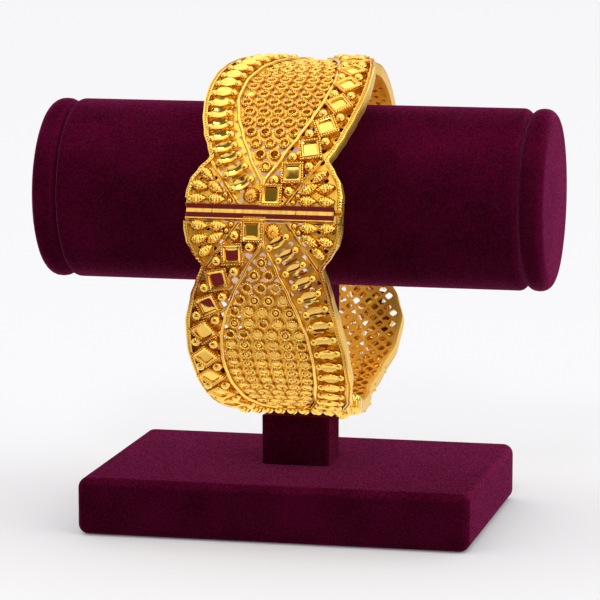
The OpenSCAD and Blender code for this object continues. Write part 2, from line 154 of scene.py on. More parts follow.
# Each gold: colour setting, roughness, grain and depth of its dents in mm, recess shade, and dulling by the file.
# The
# recess shade is two radii and a tint: painted shade deepens the gold to the tint towards the lower radius, in the
# recesses
GOLDS = {
    # Cast and soldered work, tumbled to a high shine with a faintly uneven skin, with painted shade in its recesses
    "gold_polished": ("gold", 0.13, 1.1, 0.012, (UNDER_R, PLATE_R + 0.55, (0.58, 0.36, 0.15)), 1.0),
    # The same shine on pins, knuckles and the screw, which have no relief to deepen
    "gold_polished_plain": ("gold", 0.13, 1.1, 0.012, None, 1.0),
    # Burnished facets: nearly a mirror
    "gold_mirror": ("gold", 0.06, 2.5, 0.003, None, 1.0),
    # Side walls rubbed with fine abrasive: soft, even glow
    "gold_satin": ("satin", 0.42, 0.35, 0.006, None, 1.0),
    # Discs and domes of the net, rubbed smooth but not mirror-bright
    "gold_burnished": ("gold", 0.22, 0.8, 0.006, None, 1.0),
    # Matt gold under the ornament, its colour warmed with painted light that has bounced off gold before
    "gold_liner": ("liner", 0.38, 0.35, 0.006, None, 1.0),
    # The insides of the open cups: dull, with painted shade that makes them deep and dark
    "gold_hollow": ("hollow", 0.34, 0.4, 0.01, None, 1.0),
    # The joint's leaves and flat strip, filed across their length
    "gold_brushed": ("satin", 0.30, 0.55, 0.004, None, 0.88),
    # The drilled strips along the edges: bright on top, dark in the pits from their depth and from painted shade on
    # their walls and floors
    "gold_pitted": ("gold", 0.16, 0.9, 0.006, (WALL_R - 0.26, WALL_R - 0.02, (0.30, 0.15, 0.05)), 1.0),
}


class Panel:
    """One panel of the ring. Distances d run from its joint, places x have the squares on the plus side. Its metal
    runs from first to end, clear of the leaves of its joints."""

    def __init__(self, name, body, start, direction, end, edge, squares_side, leaf=LEAF, boats=BOAT_LINE,
                 nudge=(0.0, 0.0)):
        self.name = name
        self.body = body
        self.start = start
        self.direction = direction
        length = abs(end - start) / MM_DEG
        self.first = JOINT_CLEAR if name in ("gate", "upper") else -SOLDER_LAP
        self.end = length - JOINT_CLEAR if name in ("gate", "back_low") else length + SOLDER_LAP
        self.edge_table = edge
        self.side = squares_side
        self.stretch = length / FULL
        self.leaf_table = leaf
        self.boat_table = boats
        self.nudge = nudge

    def angle(self, d):
        return self.start + self.direction * d * MM_DEG

    def edge(self, d, side):
        return look(self.edge_table, d, 1 if side > 0 else 2)

    def leaf(self, d, side):
        return look(self.leaf_table, d / self.stretch, 1 if side > 0 else 2)


def look(table, d, column=1):
    """Eased value of a table at a distance."""
    last = len(table) - 2
    i = next((k for k in range(last + 1) if d < table[k + 1][0]), last)
    a, b = table[i], table[i + 1]
    t = min(1.0, max(0.0, (d - a[0]) / (b[0] - a[0])))
    eased = 0.5 * t * t * (3 - 2 * t) + 0.5 * t
    return a[column] + (b[column] - a[column]) * eased


PANELS = (
    Panel("gate", "gate", FRONT_DEG, -1, SCREW_DEG, GATE_EDGE, -1),
    Panel("upper", "stand_and_band", FRONT_DEG, 1, TOP_DEG, UPPER_EDGE, 1, UPPER_LEAF, UPPER_BOATS,
          (-0.72, -0.5)),
    Panel("back_top", "stand_and_band", BACK_DEG, -1, TOP_DEG, BACK_TOP_EDGE, -1),
    Panel("back_low", "stand_and_band", BACK_DEG - 360, 1, SCREW_DEG, BACK_LOW_EDGE, 1),
)


def linear(code):
    """Linear colour of an sRGB hex value."""
    channels = [int(code[i:i + 2], 16) / 255 for i in (1, 3, 5)]
    return tuple(c / 12.92 if c <= 0.04045 else ((c + 0.055) / 1.055) ** 2.4 for c in channels)


class BangleSizes(bpy.types.PropertyGroup):
    wire: FloatProperty(name="Wire", description="Thickness of the plain wires", default=0.72 * MM, unit="LENGTH")
    bead: FloatProperty(name="Bead", description="Pitch of the milgrain beads", default=0.50 * MM, unit="LENGTH")
    ball: FloatProperty(name="Ball", description="Diameter of the smooth balls", default=1.95 * MM, unit="LENGTH")
    square: FloatProperty(name="Square", description="Width of a framed mirror square", default=3.85 * MM,
                          unit="LENGTH")
    collet: FloatProperty(name="Collet", description="Diameter of a collet of the net", default=2.34 * MM,
                          unit="LENGTH")
    edge_round: FloatProperty(name="Base edge", description="Rounding of the base's edges", default=1.9 * MM,
                              unit="LENGTH")


class BangleColours(bpy.types.PropertyGroup):
    gold: FloatVectorProperty(name="Gold", description="Polished 22-carat gold", subtype="COLOR", size=3,
                              default=linear("#FACE64"))
    satin: FloatVectorProperty(name="Satin gold", description="Satin gold of the side walls", subtype="COLOR",
                               size=3, default=linear("#FACE6A"))
    # Painted light: the liner's warmer colour stands for light bounced between the gold above it
    liner: FloatVectorProperty(name="Liner gold", description="Matt gold under the ornament", subtype="COLOR",
                               size=3, default=linear("#FAC852"))
    # Painted shade: this dark colour of the cups' insides stands for the shade in them
    hollow: FloatVectorProperty(name="Hollow gold", description="Dark insides of the open cups",
                                subtype="COLOR", size=3, default=linear("#A0640F"))
    velvet: FloatVectorProperty(name="Velvet", description="Ground of the velvet", subtype="COLOR", size=3,
                                default=linear("#310315"))
    nap: FloatVectorProperty(name="Nap", description="Sheen of the velvet's nap", subtype="COLOR", size=3,
                             default=linear("#E2529A"))
    foam: FloatVectorProperty(name="Foam", description="Pad under the bangle", subtype="COLOR", size=3,
                              default=linear("#F3DFDA"))
    floor: FloatVectorProperty(name="Floor", description="Studio floor", subtype="COLOR", size=3,
                               default=linear("#F4F4F5"))


def settings_of(group):
    return getattr(bpy.context.scene, "bangle_" + group)


# Materials

def set_inputs(tree, node, inputs):
    """Links or sets a node's sockets, given by name or number: a socket is linked, any other value is set."""
    for key, value in inputs.items():
        if isinstance(value, bpy.types.NodeSocket):
            tree.links.new(value, node.inputs[key])
        else:
            node.inputs[key].default_value = value


def add_node(tree, kind, inputs=None, **settings):
    """Adds a node with its settings and its linked or set sockets."""
    node = tree.nodes.new(kind)
    for name, value in settings.items():
        setattr(node, name, value)
    set_inputs(tree, node, inputs or {})
    return node


def new_material(name):
    material = bpy.data.materials.get(name)
    if material:
        return material, None, None
    material = bpy.data.materials.new(name)
    material.use_nodes = True
    tree = material.node_tree
    shader = next(n for n in tree.nodes if n.type == "BSDF_PRINCIPLED")
    return material, tree, shader


def rgba(colour):
    return (*colour, 1.0)


def gold(name):
    """22-carat gold in one of the finishes of GOLDS: a noise varies its polish and dents it."""
    material, tree, shader = new_material(name)
    if tree is None:
        return material
    setting, roughness, grain_mm, depth_mm, recess_shade, filed = GOLDS[name]
    colour = [c * filed for c in getattr(settings_of("colours"), setting)]
    dull = (0.94, 0.91, 0.86)
    where = add_node(tree, "ShaderNodeTexCoord").outputs["Object"]
    if filed < 1:
        # File marks run across X, so the noise is drawn out along Y and Z, and its dips are deeper in colour
        dull = (0.70, 0.62, 0.46)
        comb = add_node(tree, "ShaderNodeVectorMath", {0: where, 1: (1.0, 0.02, 0.02)}, operation="MULTIPLY")
        where = comb.outputs["Vector"]
    noise = add_node(tree, "ShaderNodeTexNoise", {"Vector": where, "Scale": 1 / (grain_mm * MM), "Detail": 3.0,
                                                  "Roughness": 0.55}).outputs["Fac"]
    tone = add_node(tree, "ShaderNodeValToRGB", {"Fac": noise})
    shade = [c * f for c, f in zip(colour, dull)]
    for element, position, end in zip(tone.color_ramp.elements, (0.3, 0.7), (shade, colour)):
        element.position, element.color = position, rgba(end)
    surface = tone.outputs["Color"]
    # Painted shade: towards the lower radius the colour is multiplied down to the dark tint
    if recess_shade:
        low, high, tint = recess_shade
        lift = add_node(tree, "ShaderNodeAttribute", attribute_name="lift")
        height = add_node(tree, "ShaderNodeMapRange", {"Value": lift.outputs["Fac"], "From Min": low,
                                                       "From Max": high}, interpolation_type="SMOOTHSTEP")
        deep = add_node(tree, "ShaderNodeMix", {0: 1.0, 6: surface, 7: rgba(tint)}, data_type="RGBA",
                        blend_type="MULTIPLY")
        both = add_node(tree, "ShaderNodeMix", {0: height.outputs["Result"], 6: deep.outputs[2], 7: surface},
                        data_type="RGBA")
        surface = both.outputs[2]
    polish = add_node(tree, "ShaderNodeMapRange", {"Value": noise, "To Min": roughness * 0.7,
                                                   "To Max": roughness * 1.35})
    dents = add_node(tree, "ShaderNodeBump", {"Height": noise, "Strength": 0.6, "Distance": depth_mm * MM})
    set_inputs(tree, shader, {"Base Color": surface, "Metallic": 1.0, "Roughness": polish.outputs["Result"],
                              "Normal": dents.outputs["Normal"]})
    return material


def velvet():
    # Short-pile velvet: dark ground, bright nap at grazing angles, mottled where the pile leans, and painted light
    # on faces that look up or to the right end, made lighter as if lit from above and from the right
    material, tree, shader = new_material("velvet_plum")
    if tree is None:
        return material
    colours = settings_of("colours")
    where = add_node(tree, "ShaderNodeTexCoord").outputs["Object"]
    tufts = add_node(tree, "ShaderNodeTexNoise", {"Vector": where, "Scale": 1 / (0.38 * MM), "Detail": 3.0,
                                                  "Roughness": 0.8}).outputs["Fac"]
    drift = add_node(tree, "ShaderNodeTexNoise", {"Vector": where, "Scale": 1 / (9 * MM), "Detail": 2.0,
                                                  "Roughness": 0.5}).outputs["Fac"]
    both = add_node(tree, "ShaderNodeMath", {0: drift, 1: 0.3, 2: tufts}, operation="MULTIPLY_ADD")
    shades = add_node(tree, "ShaderNodeValToRGB", {"Fac": both.outputs["Value"]})
    for element, position, factor in zip(shades.color_ramp.elements, (0.48, 0.86), (0.46, 2.0)):
        element.position, element.color = position, rgba(min(1.0, c * factor) for c in colours.velvet)
    # Painted light: faces that look up or towards the right end are lightened for the light that falls from above
    # and from the right
    normal = add_node(tree, "ShaderNodeNewGeometry").outputs["Normal"]
    facing = add_node(tree, "ShaderNodeSeparateXYZ", {"Vector": normal})
    painted_top_light = add_node(tree, "ShaderNodeMapRange", {"Value": facing.outputs["Z"], "From Min": 0.12, "From Max": 0.75,
                                                   "To Min": 1.0, "To Max": 1.65}, interpolation_type="SMOOTHSTEP")
    painted_right_light = add_node(tree, "ShaderNodeMapRange", {"Value": facing.outputs["X"], "From Min": 0.2, "From Max": 0.9,
                                                    "To Min": 1.0, "To Max": 1.7}, interpolation_type="SMOOTHSTEP")
    lift = add_node(tree, "ShaderNodeMath", {0: painted_top_light.outputs["Result"], 1: painted_right_light.outputs["Result"]},
                    operation="MULTIPLY")
    lit = add_node(tree, "ShaderNodeVectorMath", {0: shades.outputs["Color"], 1: lift.outputs["Value"]},
                   operation="MULTIPLY")
    tips = add_node(tree, "ShaderNodeMapRange", {"Value": tufts, "From Min": 0.36, "From Max": 0.64, "To Min": 0.22,
                                                 "To Max": 0.86})
    pile = add_node(tree, "ShaderNodeBump", {"Height": tufts, "Strength": 0.9, "Distance": 0.14 * MM})
    set_inputs(tree, shader, {"Base Color": lit.outputs["Vector"], "Normal": pile.outputs["Normal"],
                              "Roughness": 1.0, "Specular IOR Level": 0.0, "Sheen Weight": tips.outputs["Result"],
                              "Sheen Roughness": 0.28, "Sheen Tint": rgba(colours.nap)})
    return material


def foam():
    # Open-cell foam under a thin cloth: pale, dull, finely pitted, with a painted glow that lightens it in the
    # bangle's shade
    material, tree, shader = new_material("foam_blush")
    if tree is None:
        return material
    pale = rgba(settings_of("colours").foam)
    where = add_node(tree, "ShaderNodeTexCoord").outputs["Object"]
    cells = add_node(tree, "ShaderNodeTexNoise", {"Vector": where, "Scale": 1 / (0.7 * MM), "Detail": 3.0})
    cells = cells.outputs["Fac"]
    shades = add_node(tree, "ShaderNodeValToRGB", {"Fac": cells})
    for element, factor in zip(shades.color_ramp.elements, (0.82, 1.0)):
        element.color = rgba(c * factor for c in pale[:3])
    pits = add_node(tree, "ShaderNodeBump", {"Height": cells, "Strength": 0.5, "Distance": 0.1 * MM})
    # Painted light: the pad glows faintly in its own colour, though it is no lamp
    set_inputs(tree, shader, {"Base Color": shades.outputs["Color"], "Normal": pits.outputs["Normal"],
                              "Roughness": 0.9, "Emission Color": pale, "Emission Strength": 0.28})
    return material


def studio_floor():
    # Matt white paper sweep, with a little glow that keeps the studio's soft shadows pale
    material, tree, shader = new_material("paper_sweep")
    if tree is not None:
        base = rgba(c * 0.86 for c in settings_of("colours").floor)
        set_inputs(tree, shader, {"Base Color": base, "Roughness": 1.0, "Specular IOR Level": 0.0,
                                  "Emission Color": (1.0, 0.99, 1.0, 1.0), "Emission Strength": 0.10})
    return material


def card_material(name, colour, strength):
    # A lit board that only gold's mirror image shows
    material, tree, _ = new_material(name)
    if tree is not None:
        glow = add_node(tree, "ShaderNodeEmission", {"Color": rgba(colour), "Strength": strength})
        set_inputs(tree, tree.nodes["Material Output"], {"Surface": glow.outputs["Emission"]})
    return material


def light_tent(world):
    """White for what the camera and matt faces see, and a studio with a dark front for polished gold."""
    world.use_nodes = True
    tree = world.node_tree
    plain = tree.nodes["Background"]
    set_inputs(tree, plain, {"Color": (0.99, 0.98, 1.0, 1.0), "Strength": 0.70})
    ray = add_node(tree, "ShaderNodeLightPath")
    where = add_node(tree, "ShaderNodeTexCoord").outputs["Generated"]
    parts = add_node(tree, "ShaderNodeSeparateXYZ", {"Vector": where})
    height = add_node(tree, "ShaderNodeValToRGB", {"Fac": parts.outputs["Z"]})
    ramp = height.color_ramp
    ramp.elements[0].color, ramp.elements[1].color = (0.95, 0.93, 0.88, 1), (1.05, 1.03, 0.99, 1)
    for position, grey in ((0.45, 0.85), (0.72, 0.98), (0.80, 1.0), (0.85, 1.45), (0.92, 1.45), (0.96, 1.05)):
        ramp.elements.new(position).color = (grey, grey * 0.98, grey * 0.94, 1)
    patches = add_node(tree, "ShaderNodeTexNoise", {"Vector": where, "Scale": 2.2, "Detail": 1.0})
    spread = add_node(tree, "ShaderNodeMapRange", {"Value": patches.outputs["Fac"], "From Min": 0.35,
                                                   "From Max": 0.65, "To Min": 0.4, "To Max": 1.25})
    studio = add_node(tree, "ShaderNodeVectorMath", {0: height.outputs["Color"], 1: spread.outputs["Result"]},
                      operation="MULTIPLY")
    front = Vector((-0.13, -0.93, 0.35)).normalized()
    ahead = add_node(tree, "ShaderNodeVectorMath", {0: where, 1: front}, operation="DOT_PRODUCT")
    mask = add_node(tree, "ShaderNodeMapRange", {"Value": ahead.outputs["Value"], "From Min": 0.87,
                                                 "From Max": 0.93}, interpolation_type="SMOOTHSTEP")
    dark = add_node(tree, "ShaderNodeMix", {0: mask.outputs["Result"], 6: studio.outputs["Vector"],
                                            7: (0.16, 0.14, 0.08, 1)}, data_type="RGBA")
    shine = add_node(tree, "ShaderNodeBackground", {"Color": dark.outputs[2], "Strength": 1.0})
    sight = add_node(tree, "ShaderNodeBackground", {"Color": (0.995, 0.995, 1.0, 1.0), "Strength": 0.945})
    matt = add_node(tree, "ShaderNodeMixShader", {0: ray.outputs["Is Camera Ray"], 1: plain.outputs[0],
                                                  2: sight.outputs[0]})
    choice = add_node(tree, "ShaderNodeMixShader", {0: ray.outputs["Is Glossy Ray"], 1: matt.outputs[0],
                                                    2: shine.outputs[0]})
    set_inputs(tree, tree.nodes["World Output"], {"Surface": choice.outputs[0]})


# Mesh helpers

def deselect():
    if bpy.context.object and bpy.context.object.mode != "OBJECT":
        bpy.ops.object.mode_set(mode="OBJECT")
    bpy.ops.object.select_all(action="DESELECT")


def apply_transforms(obj):
    deselect()
    obj.select_set(True)
    bpy.context.view_layer.objects.active = obj
    bpy.ops.object.transform_apply(location=True, rotation=True, scale=True)


def take_mesh(obj):
    """Vertices and faces of a given model, in metres, and the model is removed."""
    apply_transforms(obj)
    mesh = obj.data
    points = np.array([v.co for v in mesh.vertices])
    faces = [tuple(p.vertices) for p in mesh.polygons]
    bpy.data.objects.remove(obj)
    bpy.data.meshes.remove(mesh)
    return points, faces


def merged(*shapes):
    """One shape of several (points, faces)."""
    points, faces, count = [], [], 0
    for some, some_faces in shapes:
        points.append(some)
        faces += [tuple(i + count for i in f) for f in some_faces]
        count += len(some)
    return np.concatenate(points), faces


def moved(shape, matrix):
    points, faces = shape
    turned = points @ np.array(matrix.to_3x3()).T + np.array(matrix.translation)
    return turned, faces


def skin_faces(rows, n, closed=False):
    """Faces of a skin over rows of n points, capped at both ends or closed on itself."""
    faces = []
    for i in range(rows if closed else rows - 1):
        j = (i + 1) % rows
        faces += [(i * n + c, i * n + (c + 1) % n, j * n + (c + 1) % n, j * n + c) for c in range(n)]
    if not closed:
        faces += [tuple(range(n))[::-1], tuple(range((rows - 1) * n, rows * n))]
    return faces


def stack(loops, closed=False):
    """A skin over outlines of equal length, each (outline, height); capped, or closed on itself."""
    points = [(x * MM, y * MM, z * MM) for outline, z in loops for x, y in outline]
    return np.array(points), skin_faces(len(loops), len(loops[0][0]), closed)


def circle(count, radius=1.0):
    """Points of a regular polygon round the origin."""
    turn = 2 * math.pi / count
    return [(radius * math.cos(turn * k), radius * math.sin(turn * k)) for k in range(count)]


def lathe(profile, segments, wave=None, closed=False):
    """A shape turned round Z from (radius, height) points, capped at both ends or with a closed profile. A point
    may add swells of its radius and height, which wave(k) drives."""
    points = []
    for k in range(segments):
        a = 2 * math.pi * k / segments
        swell = wave(k) if wave else 0
        for radius, height, *swells in profile:
            out, up = swells or (0, 0)
            size = radius + out * swell
            points.append((size * math.cos(a) * MM, size * math.sin(a) * MM, (height + up * swell) * MM))
    rows = len(profile)
    columns = [(k * rows, (k + 1) % segments * rows) for k in range(segments)]
    faces = [(k + i, n + i, n + i + 1, k + i + 1) for k, n in columns for i in range(rows - 1)]
    if closed:
        faces += [(k + rows - 1, n + rows - 1, n, k) for k, n in columns]
    else:
        faces += [tuple(k for k, _ in columns)[::-1], tuple(k + rows - 1 for k, _ in columns)]
    return np.array(points), faces


def rounded_square(half, corner):
    """Outline of a square with rounded corners of four points each."""
    outline, count = [], 4
    for quarter in range(4):
        middle = math.radians(quarter * 90 + 45)
        cx, cy = (math.copysign(half - corner, f(middle)) for f in (math.cos, math.sin))
        for k in range(count):
            a = math.radians(quarter * 90 + 90 * k / (count - 1))
            outline.append((cx + corner * math.cos(a), cy + corner * math.sin(a)))
    return outline


def chamfered_bar(long_half, short_half):
    """Outline of a bar with cut corners."""
    a, b, cut = long_half, short_half, 0.12
    return [(a, b - cut), (a - cut, b), (-a + cut, b), (-a, b - cut), (-a, -b + cut), (-a + cut, -b),
            (a - cut, -b), (a, -b + cut)]


def soften(obj, width, segments):
    """Rounds every edge of a piece."""
    apply_transforms(obj)
    modifier = obj.modifiers.new("round", "BEVEL")
    modifier.width = width
    modifier.segments = segments
    modifier.limit_method = "ANGLE"
    bpy.ops.object.modifier_apply(modifier=modifier.name)


def piece(name, shape, material, body, angle=40.0, replaces=(), slot="gold"):
    """A finished piece at the origin that rides on a body."""
    points, faces = shape
    mesh = bpy.data.meshes.new(name)
    mesh.from_pydata([tuple(p) for p in points], [], faces)
    mesh.update()
    fixed = bmesh.new()
    fixed.from_mesh(mesh)
    bmesh.ops.recalc_face_normals(fixed, faces=fixed.faces)
    fixed.to_mesh(mesh)
    fixed.free()
    obj = bpy.data.objects.new(name, mesh)
    bpy.context.scene.collection.objects.link(obj)
    return finish_piece(obj, material, body, angle, replaces, slot)


def finish_piece(obj, material, body, angle=40.0, replaces=(), slot="gold"):
    """Smooths a piece, stores how far out each point lies if the slot is gold, and gives it its material and body.
    """
    apply_transforms(obj)
    bpy.ops.object.shade_smooth_by_angle(angle=math.radians(angle))
    if slot == "gold":
        # This radius sets the painted shade in the recesses of the golds that have one
        lift = obj.data.attributes.new("lift", "FLOAT", "POINT")
        lift.data.foreach_set("value", [math.hypot(v.co.y, v.co.z - RING_Z * MM) / MM for v in obj.data.vertices])
    obj.data.materials.clear()
    obj.data.materials.append(material)
    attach(obj, body)
    if replaces:
        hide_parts(*replaces)
    return obj


def dress(node, material):
    """Gives a CAD node its finish."""
    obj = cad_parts[node]
    obj.data.materials.clear()
    obj.data.materials.append(material)


# The ring's own coordinates

def ring_point(angle, x, r):
    a = math.radians(angle)
    return (x * MM, -r * math.cos(a) * MM, (RING_Z + r * math.sin(a)) * MM)


def ring_matrix(angle, x, r, turn=0.0, tilt=(0.0, 0.0)):
    """Local Z outward, local Y up the ring, local X along the ring's axis."""
    return (Matrix.Translation(ring_point(angle, x, r))
            @ Matrix.Rotation(math.radians(90 - angle), 4, "X")
            @ Matrix.Rotation(math.radians(turn), 4, "Z")
            @ Matrix.Rotation(math.radians(tilt[0]), 4, "X") @ Matrix.Rotation(math.radians(tilt[1]), 4, "Y"))


def nudged(panel, d, x):
    """The place that an ornament really takes: the upper front panel's lean towards its joint."""
    dd, dx = panel.nudge
    ease = 1.0 if d < 12 else max(0.0, 1 - (d - 12) / 16)
    return d + dd, x * panel.side + dx * ease + 0.1 * (1 - ease) * (dx != 0)


def on_panel(panel, d, x, r=PLATE_R, turn=0.0, tilt=(0.0, 0.0)):
    along, across = nudged(panel, d, x)
    return ring_matrix(panel.angle(along), across, r, turn, tilt)


def steps(start, end, pitch):
    count = max(2, round((end - start) / pitch))
    return [start + (end - start) * i / count for i in range(count + 1)]


def sweep(panel, stations, section, nudge=False):
    """A closed bar along a panel. section(d) gives its corners as (x, radius)."""
    points = []
    for d in stations:
        corners = section(d)
        for x, r in corners:
            along, across = nudged(panel, d, x) if nudge else (d, x * panel.side)
            points.append(ring_point(panel.angle(along), across, r))
    return np.array(points), skin_faces(len(stations), len(corners))


def standing_wire(panel, start, end, line, head):
    """A wire along line(d) whose head, given as (x, radius) points, stands on a thin stem from the plate."""
    stem = 0.16

    def section(d):
        x = line(d)
        return [(x + stem, UNDER_R)] + [(x + u, r) for u, r in head] + [(x - stem, UNDER_R)]

    return sweep(panel, steps(start, end, 0.8), section, True)


# Unit shapes, each modelled once in metres round the origin, with the plate's outer face at z = 0

def unit_ball(diameter, z, segments=14, rings=8):
    bpy.ops.mesh.primitive_uv_sphere_add(segments=segments, ring_count=rings, radius=diameter / 2 * MM,
                                         location=(0, 0, z * MM))
    return take_mesh(bpy.context.object)


def unit_ring(major, minor, z, segments=16, sides=6):
    bpy.ops.mesh.primitive_torus_add(major_radius=major * MM, minor_radius=minor * MM, major_segments=segments,
                                     minor_segments=sides, location=(0, 0, z * MM))
    return take_mesh(bpy.context.object)


def unit_collet(diameter):
    """A cup of the net: a bright lip round its hole and a ring of fine grains below the lip."""
    r = diameter / 2
    shapes = [lathe([(0.60, -0.30), (0.64, 0.44), (0.72, 0.52), (0.84, 0.50), (0.92, 0.34), (r - 0.12, 0.14),
                     (r - 0.04, -0.30)], 18, closed=True)]
    grain = unit_ball(0.36, 0.33, 6, 4)
    shapes += [moved(grain, Matrix.Translation((x, y, 0))) for x, y in circle(14, (r - 0.17) * MM)]
    return merged(*shapes)


def unit_cup():
    """The hollow of an open collet: a bowl with a deep pip in it."""
    return lathe([(0.74, -0.5), (0.76, 0.34), (0.66, 0.02), (0.48, -0.22), (0.26, -0.32), (0.22, -0.55)], 11)


def unit_dome():
    """A small ball in a collet."""
    return merged(lathe([(0.72, -0.4), (0.72, -0.05), (0.3, -0.15)], 11), unit_ball(1.04, 0.16, 8, 6))


def unit_disc():
    """A flat burnished disc with a soft edge that closes a collet."""
    return lathe([(0.72, -0.28), (0.72, 0.20), (0.64, 0.28)], 14)


def unit_square_frame(width):
    """The frame of a mirror square: a smooth bevel inside and a row of beads along each side."""
    half = width / 2
    rings = [(half - 0.26, 0.12, 0.70), (half - 0.34, 0.12, 0.98), (half - 0.46, 0.12, 1.08),
             (1.26, 0.42, 1.0), (1.20, 0.42, 0.5), (1.20, 0.42, -0.25), (half - 0.30, 0.12, -0.25)]
    foot = [(half + 0.10, 0.3, -0.25), (half + 0.08, 0.3, 0.15), (half - 0.02, 0.2, 0.66),
            (half - 0.28, 0.15, 0.72), (half - 0.40, 0.12, -0.25)]
    shapes = [stack([(rounded_square(h, c), z) for h, c, z in part], True) for part in (rings, foot)]
    bead, beads = unit_ball(0.46, 0.0, 6, 4), 8
    for k in range(beads):
        spot = Matrix.Translation(((-half + 0.12 + (width - 0.24) * k / beads) * MM, (half - 0.12) * MM, 0.80 * MM))
        shapes += [moved(bead, Matrix.Rotation(turn * math.pi / 2, 4, "Z") @ spot) for turn in range(4)]
    return merged(*shapes)


def unit_mirror():
    """The burnished face of a square, a shallow cushion set a little below its frame."""
    rings = [(1.23, 0.44, 0.2), (1.23, 0.44, 0.68), (1.14, 0.44, 0.742), (0.88, 0.40, 0.764), (0.60, 0.30, 0.776)]
    return stack([(rounded_square(h, c), z) for h, c, z in rings])


def unit_grain():
    """A plump pointed grain wound with fine ridges, lying along local X on its seat."""
    ridges, profile = 7, []
    for k in range(ridges * 4 + 1):
        t = -1 + 2 * k / (ridges * 4)
        swell = (1.0, 0.95, 0.84, 0.95)[(k + 2) % 4]
        profile.append((1.08 * max(0.0, 1 - abs(t) ** 1.7) * swell + 0.05, 1.74 * t))
    lay = Matrix.Translation((0, 0, 0.46 * MM)) @ LIE_DOWN
    outline = [(1.76 * math.copysign(abs(c) ** 1.2, c), 0.96 * s) for c, s in circle(16)]
    return merged(moved(lathe(profile, 14), lay), stack([(outline, -0.3), (outline, -0.02)]))


def unit_rosette():
    """A fluted melon bead."""
    profile = []
    for a in range(0, 125, 12):
        c, s = math.cos(math.radians(a)), math.sin(math.radians(a))
        profile.append((0.12 + 1.24 * s, 0.05 + 1.12 * c, 0.10 * s ** 0.5, 0.05 * c))
    flutes = 15
    points, faces = lathe(profile, flutes * 4, lambda k: (-1.4, 0.3, 0.7, 0.3)[k % 4])
    seat = lathe([(1.55, -0.3), (1.55, -0.1), (1.3, 0.1)], 20)
    return merged((points * np.array([0.98, 1.12, 1.0]), faces), seat)


def unit_boat():
    """A bright-cut boat, hollowed along its length: a broad flank above its valley, a narrow one below."""
    points, reach = [], 1.48
    shares = (-1, -0.86, -0.66, -0.44, -0.22, 0, 0.22, 0.44, 0.66, 0.86, 1)
    for share in shares:
        x, bulge = reach * share, share ** 2
        t, top = 1 - 0.62 * bulge, 1.48 - 0.34 * bulge
        up, valley, low = 0.12 + 1.0 * t, -0.28 * t, -0.08 - 0.92 * t
        third, half = (up - valley) / 3, (valley - low) / 2
        z3 = top - third * 1.32 * t
        z5 = z3 + half * 0.86 * t
        loop = [(up + 0.10, top - 0.25), (up, top), (up - third, top - third * 0.66 * t),
                (up - 2 * third, top - third * 1.10 * t), (valley, z3), (valley - half, z3 + half * 0.28 * t),
                (low, z5), (low - 0.04, z5 - 0.3), (low + 0.08, -0.05), (up - 0.05, -0.05)]
        points += [(x * MM, y * MM, z * MM) for y, z in loop]
    leaf = np.array(points), skin_faces(len(shares), len(loop))
    ledge = stack([([(x, y + 1.52) for x, y in chamfered_bar(1.3, short)], z)
                   for short, z in ((0.20, -0.25), (0.15, 0.30), (0.15, 0.38))])
    return merged(leaf, ledge)


def unit_boat_ends():
    """The two balls at a boat's tips, on their stems."""
    parts = unit_ball(1.46, 0.75, 14, 9), lathe([(0.62, -0.3), (0.58, 0.2), (0.3, 0.4)], 12)
    return merged(*[moved(part, Matrix.Translation((x * MM, 0, 0))) for x in (-1.80, 1.80) for part in parts])


# The bangle's panels

def rim_span(panel, side):
    """First and last distance of a rim. The front panels' run on past the ends of the joint's bevels."""
    return (0.62 if panel.first > 1 and side * panel.side > 0 else panel.first), panel.end


def fan_line(d):
    return 4.2 + (d - 1.9) * 0.72


def hole_size(panel, d, x):
    """How wide the liner is pierced: open under the bands, closer under the fans and the low panels' net."""
    inside = -panel.leaf(d, -1) < x < panel.leaf(d, 1)
    if not inside:
        if d < 9.5 and abs(x) > fan_line(d):
            return 0.50
        return 0.46 if x < 0 else 0.74
    if panel.name in ("gate", "back_low"):
        return 0.62 if x > panel.leaf(d, 1) - 3.6 or d < 14 else 0.30
    return 0.70


def panel_walls(panel):
    """Satin side walls with softened edges."""
    thick = 0.72
    profile = [(-thick, BORE_R), (-0.1, BORE_R), (0, BORE_R + 0.12), (0.02, 31.3), (0, WALL_R - 0.30),
               (-0.08, WALL_R - 0.16), (-0.3, WALL_R - 0.14), (-thick, WALL_R - 0.14)]
    return merged(*[sweep(panel, steps(panel.first, panel.end, 0.6),
                          lambda d, s=side: [(s * (panel.edge(d, s) + x), r) for x, r in profile])
                    for side in (-1, 1)])


